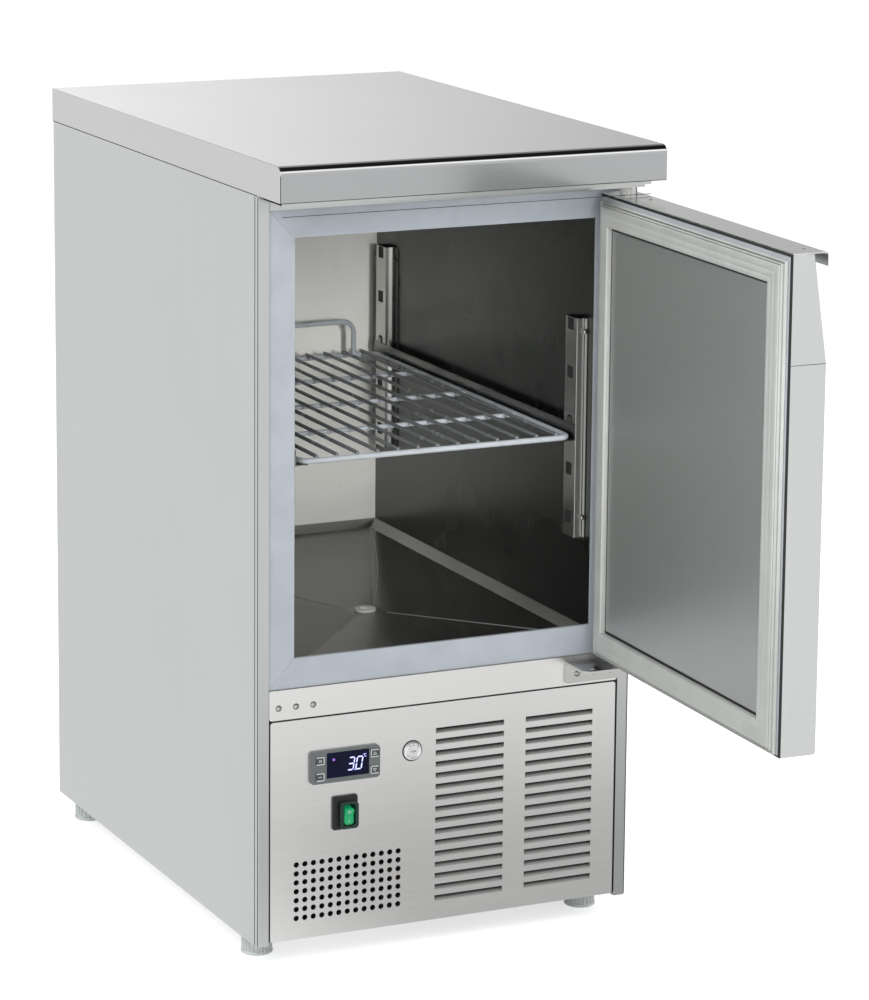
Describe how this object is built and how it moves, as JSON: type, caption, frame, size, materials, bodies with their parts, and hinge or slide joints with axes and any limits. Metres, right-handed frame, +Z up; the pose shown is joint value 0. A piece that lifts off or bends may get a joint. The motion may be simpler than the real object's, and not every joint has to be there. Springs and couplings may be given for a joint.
{
  "type": "refrigerated prep counter",
  "caption": "One-door under-counter refrigerator with a flat steel worktop, a side-hinged door, a wire shelf and a louvred machine bay below.",
  "frame": {"origin": "on the floor, under the middle of the worktop", "axes": "+X to the right seen from the front, +Y from the front to the back, +Z up; the door and the controls face -Y"},
  "size_m": [0.435, 1.0169, 0.855],
  "materials": {
    "casing_steel": "fine brushed stainless steel",
    "worktop_steel": "fine brushed stainless steel",
    "panel_steel": "satin stainless steel",
    "chamber_steel": "satin stainless steel",
    "galvanised_steel": "galvanised sheet",
    "board": "raw board",
    "frame_plastic": "satin blue-grey",
    "seal_rubber": "soft pale grey",
    "foam": "rigid polyurethane foam",
    "copper": "drawn copper",
    "white_nylon": "white nylon",
    "hose_plastic": "grey hose",
    "tray_plastic": "black moulded plastic",
    "coated_wire": "grey plastic-coated steel wire",
    "controller_plastic": "dark grey moulded plastic",
    "window_plastic": "smoked display window",
    "key_rubber": "soft key",
    "switch_plastic": "black moulded plastic",
    "rocker_green": "translucent green, lit",
    "chrome": "polished",
    "bracket_steel": "satin stainless steel",
    "screw_steel": "polished stainless steel",
    "compressor_black": "black enamel",
    "mount_rubber": "black rubber",
    "black_plastic": "black moulded plastic",
    "aluminium_fins": "thin fins",
    "fan_grey": "pressed aluminium",
    "foot_plastic": "grey moulded plastic"
  },
  "bodies": {
    "cabinet": {"worktop": "worktop_steel", "worktop_core": "board", "top_rail": "casing_steel", "side_panel_left": "casing_steel", "side_panel_right": "casing_steel", "rear_panel": "galvanised_steel", "rear_grille": "galvanised_steel", "base_tray": "galvanised_steel", "chamber_bottom": "galvanised_steel", "transom": "panel_steel", "opening_strips": "frame_plastic", "chamber_liner": "chamber_steel", "floor_pan": "chamber_steel", "foam_body": "foam", "evaporator_coil": "copper", "drain_bush": "white_nylon", "drain_hose": "hose_plastic", "drip_tray": "tray_plastic", "racking_uprights": "chamber_steel", "upright_screws": "screw_steel", "runner_left": "chamber_steel", "runner_right": "chamber_steel", "service_panel": "panel_steel", "controller_housing": "controller_plastic", "controller_window": "window_plastic", "switch_housing": "switch_plastic", "switch_hood": "switch_plastic", "lock_housing": "chrome", "hinge_bracket_lower": "bracket_steel", "hinge_bracket_upper": "bracket_steel", "front_screws": "screw_steel", "compressor": "compressor_black", "compressor_mounts": "mount_rubber", "relay_box": "black_plastic", "condenser": "aluminium_fins", "fan_shroud": "black_plastic", "fan_motor": "compressor_black", "filter_drier": "copper", "refrigerant_pipes": "copper", "mains_inlet": "black_plastic"},
    "door": {"door_skin": "casing_steel", "door_handle_rail": "casing_steel", "door_foam": "foam", "door_frame": "frame_plastic", "door_gasket": "seal_rubber", "door_inner_panel": "chamber_steel", "hinge_bushes": "white_nylon"},
    "shelf": {"wire_shelf": "coated_wire"},
    "switch_rocker": {"rocker": "rocker_green"},
    "lock": {"lock_cylinder": "chrome"},
    "fan": {"fan_blade": "fan_grey"},
    "defrost_key": {"key_defrost": "key_rubber"},
    "set_key": {"key_set": "key_rubber"},
    "up_key": {"key_up": "key_rubber"},
    "down_key": {"key_down": "key_rubber"},
    "front_left_foot": {"foot_front_left": "foot_plastic"},
    "front_right_foot": {"foot_front_right": "foot_plastic"},
    "rear_left_foot": {"foot_rear_left": "foot_plastic"},
    "rear_right_foot": {"foot_rear_right": "foot_plastic"}
  },
  "joints": [
    {"name": "door_hinge", "type": "hinge", "parent": "cabinet", "child": "door", "pos_m": [0.189, -0.294, 0.3], "axis": [0, 0, 1], "range_deg": [-88.6, 15]},
    {"name": "shelf_slide", "type": "slide", "parent": "cabinet", "child": "shelf", "axis": [0, -1, 0], "range_m": [0, 0.3]},
    {"name": "rocker_tip", "type": "hinge", "parent": "cabinet", "child": "switch_rocker", "pos_m": [-0.114, -0.2645, 0.158], "axis": [1, 0, 0], "range_deg": [-16, 0]},
    {"name": "lock_turn", "type": "hinge", "parent": "cabinet", "child": "lock", "pos_m": [-0.0392, -0.2675, 0.2175], "axis": [0, 1, 0], "range_deg": [0, 90]},
    {"name": "fan_spin", "type": "hinge", "parent": "cabinet", "child": "fan", "pos_m": [0.082, -0.172, 0.133], "axis": [0, 1, 0], "continuous": true},
    {"name": "defrost_key_press", "type": "slide", "parent": "cabinet", "child": "defrost_key", "axis": [0, 1, 0], "range_m": [0, 0.0008], "stiffness_N_per_m": 400},
    {"name": "set_key_press", "type": "slide", "parent": "cabinet", "child": "set_key", "axis": [0, 1, 0], "range_m": [0, 0.0008], "stiffness_N_per_m": 400},
    {"name": "up_key_press", "type": "slide", "parent": "cabinet", "child": "up_key", "axis": [0, 1, 0], "range_m": [0, 0.0008], "stiffness_N_per_m": 400},
    {"name": "down_key_press", "type": "slide", "parent": "cabinet", "child": "down_key", "axis": [0, 1, 0], "range_m": [0, 0.0008], "stiffness_N_per_m": 400},
    {"name": "front_left_foot_turn", "type": "hinge", "parent": "cabinet", "child": "front_left_foot", "pos_m": [-0.192, -0.21, 0], "axis": [0, 0, 1], "continuous": true},
    {"name": "front_right_foot_turn", "type": "hinge", "parent": "cabinet", "child": "front_right_foot", "pos_m": [0.192, -0.21, 0], "axis": [0, 0, 1], "continuous": true},
    {"name": "rear_left_foot_turn", "type": "hinge", "parent": "cabinet", "child": "rear_left_foot", "pos_m": [-0.192, 0.295, 0], "axis": [0, 0, 1], "continuous": true},
    {"name": "rear_right_foot_turn", "type": "hinge", "parent": "cabinet", "child": "rear_right_foot", "pos_m": [0.192, 0.295, 0], "axis": [0, 0, 1], "continuous": true}
  ]
}
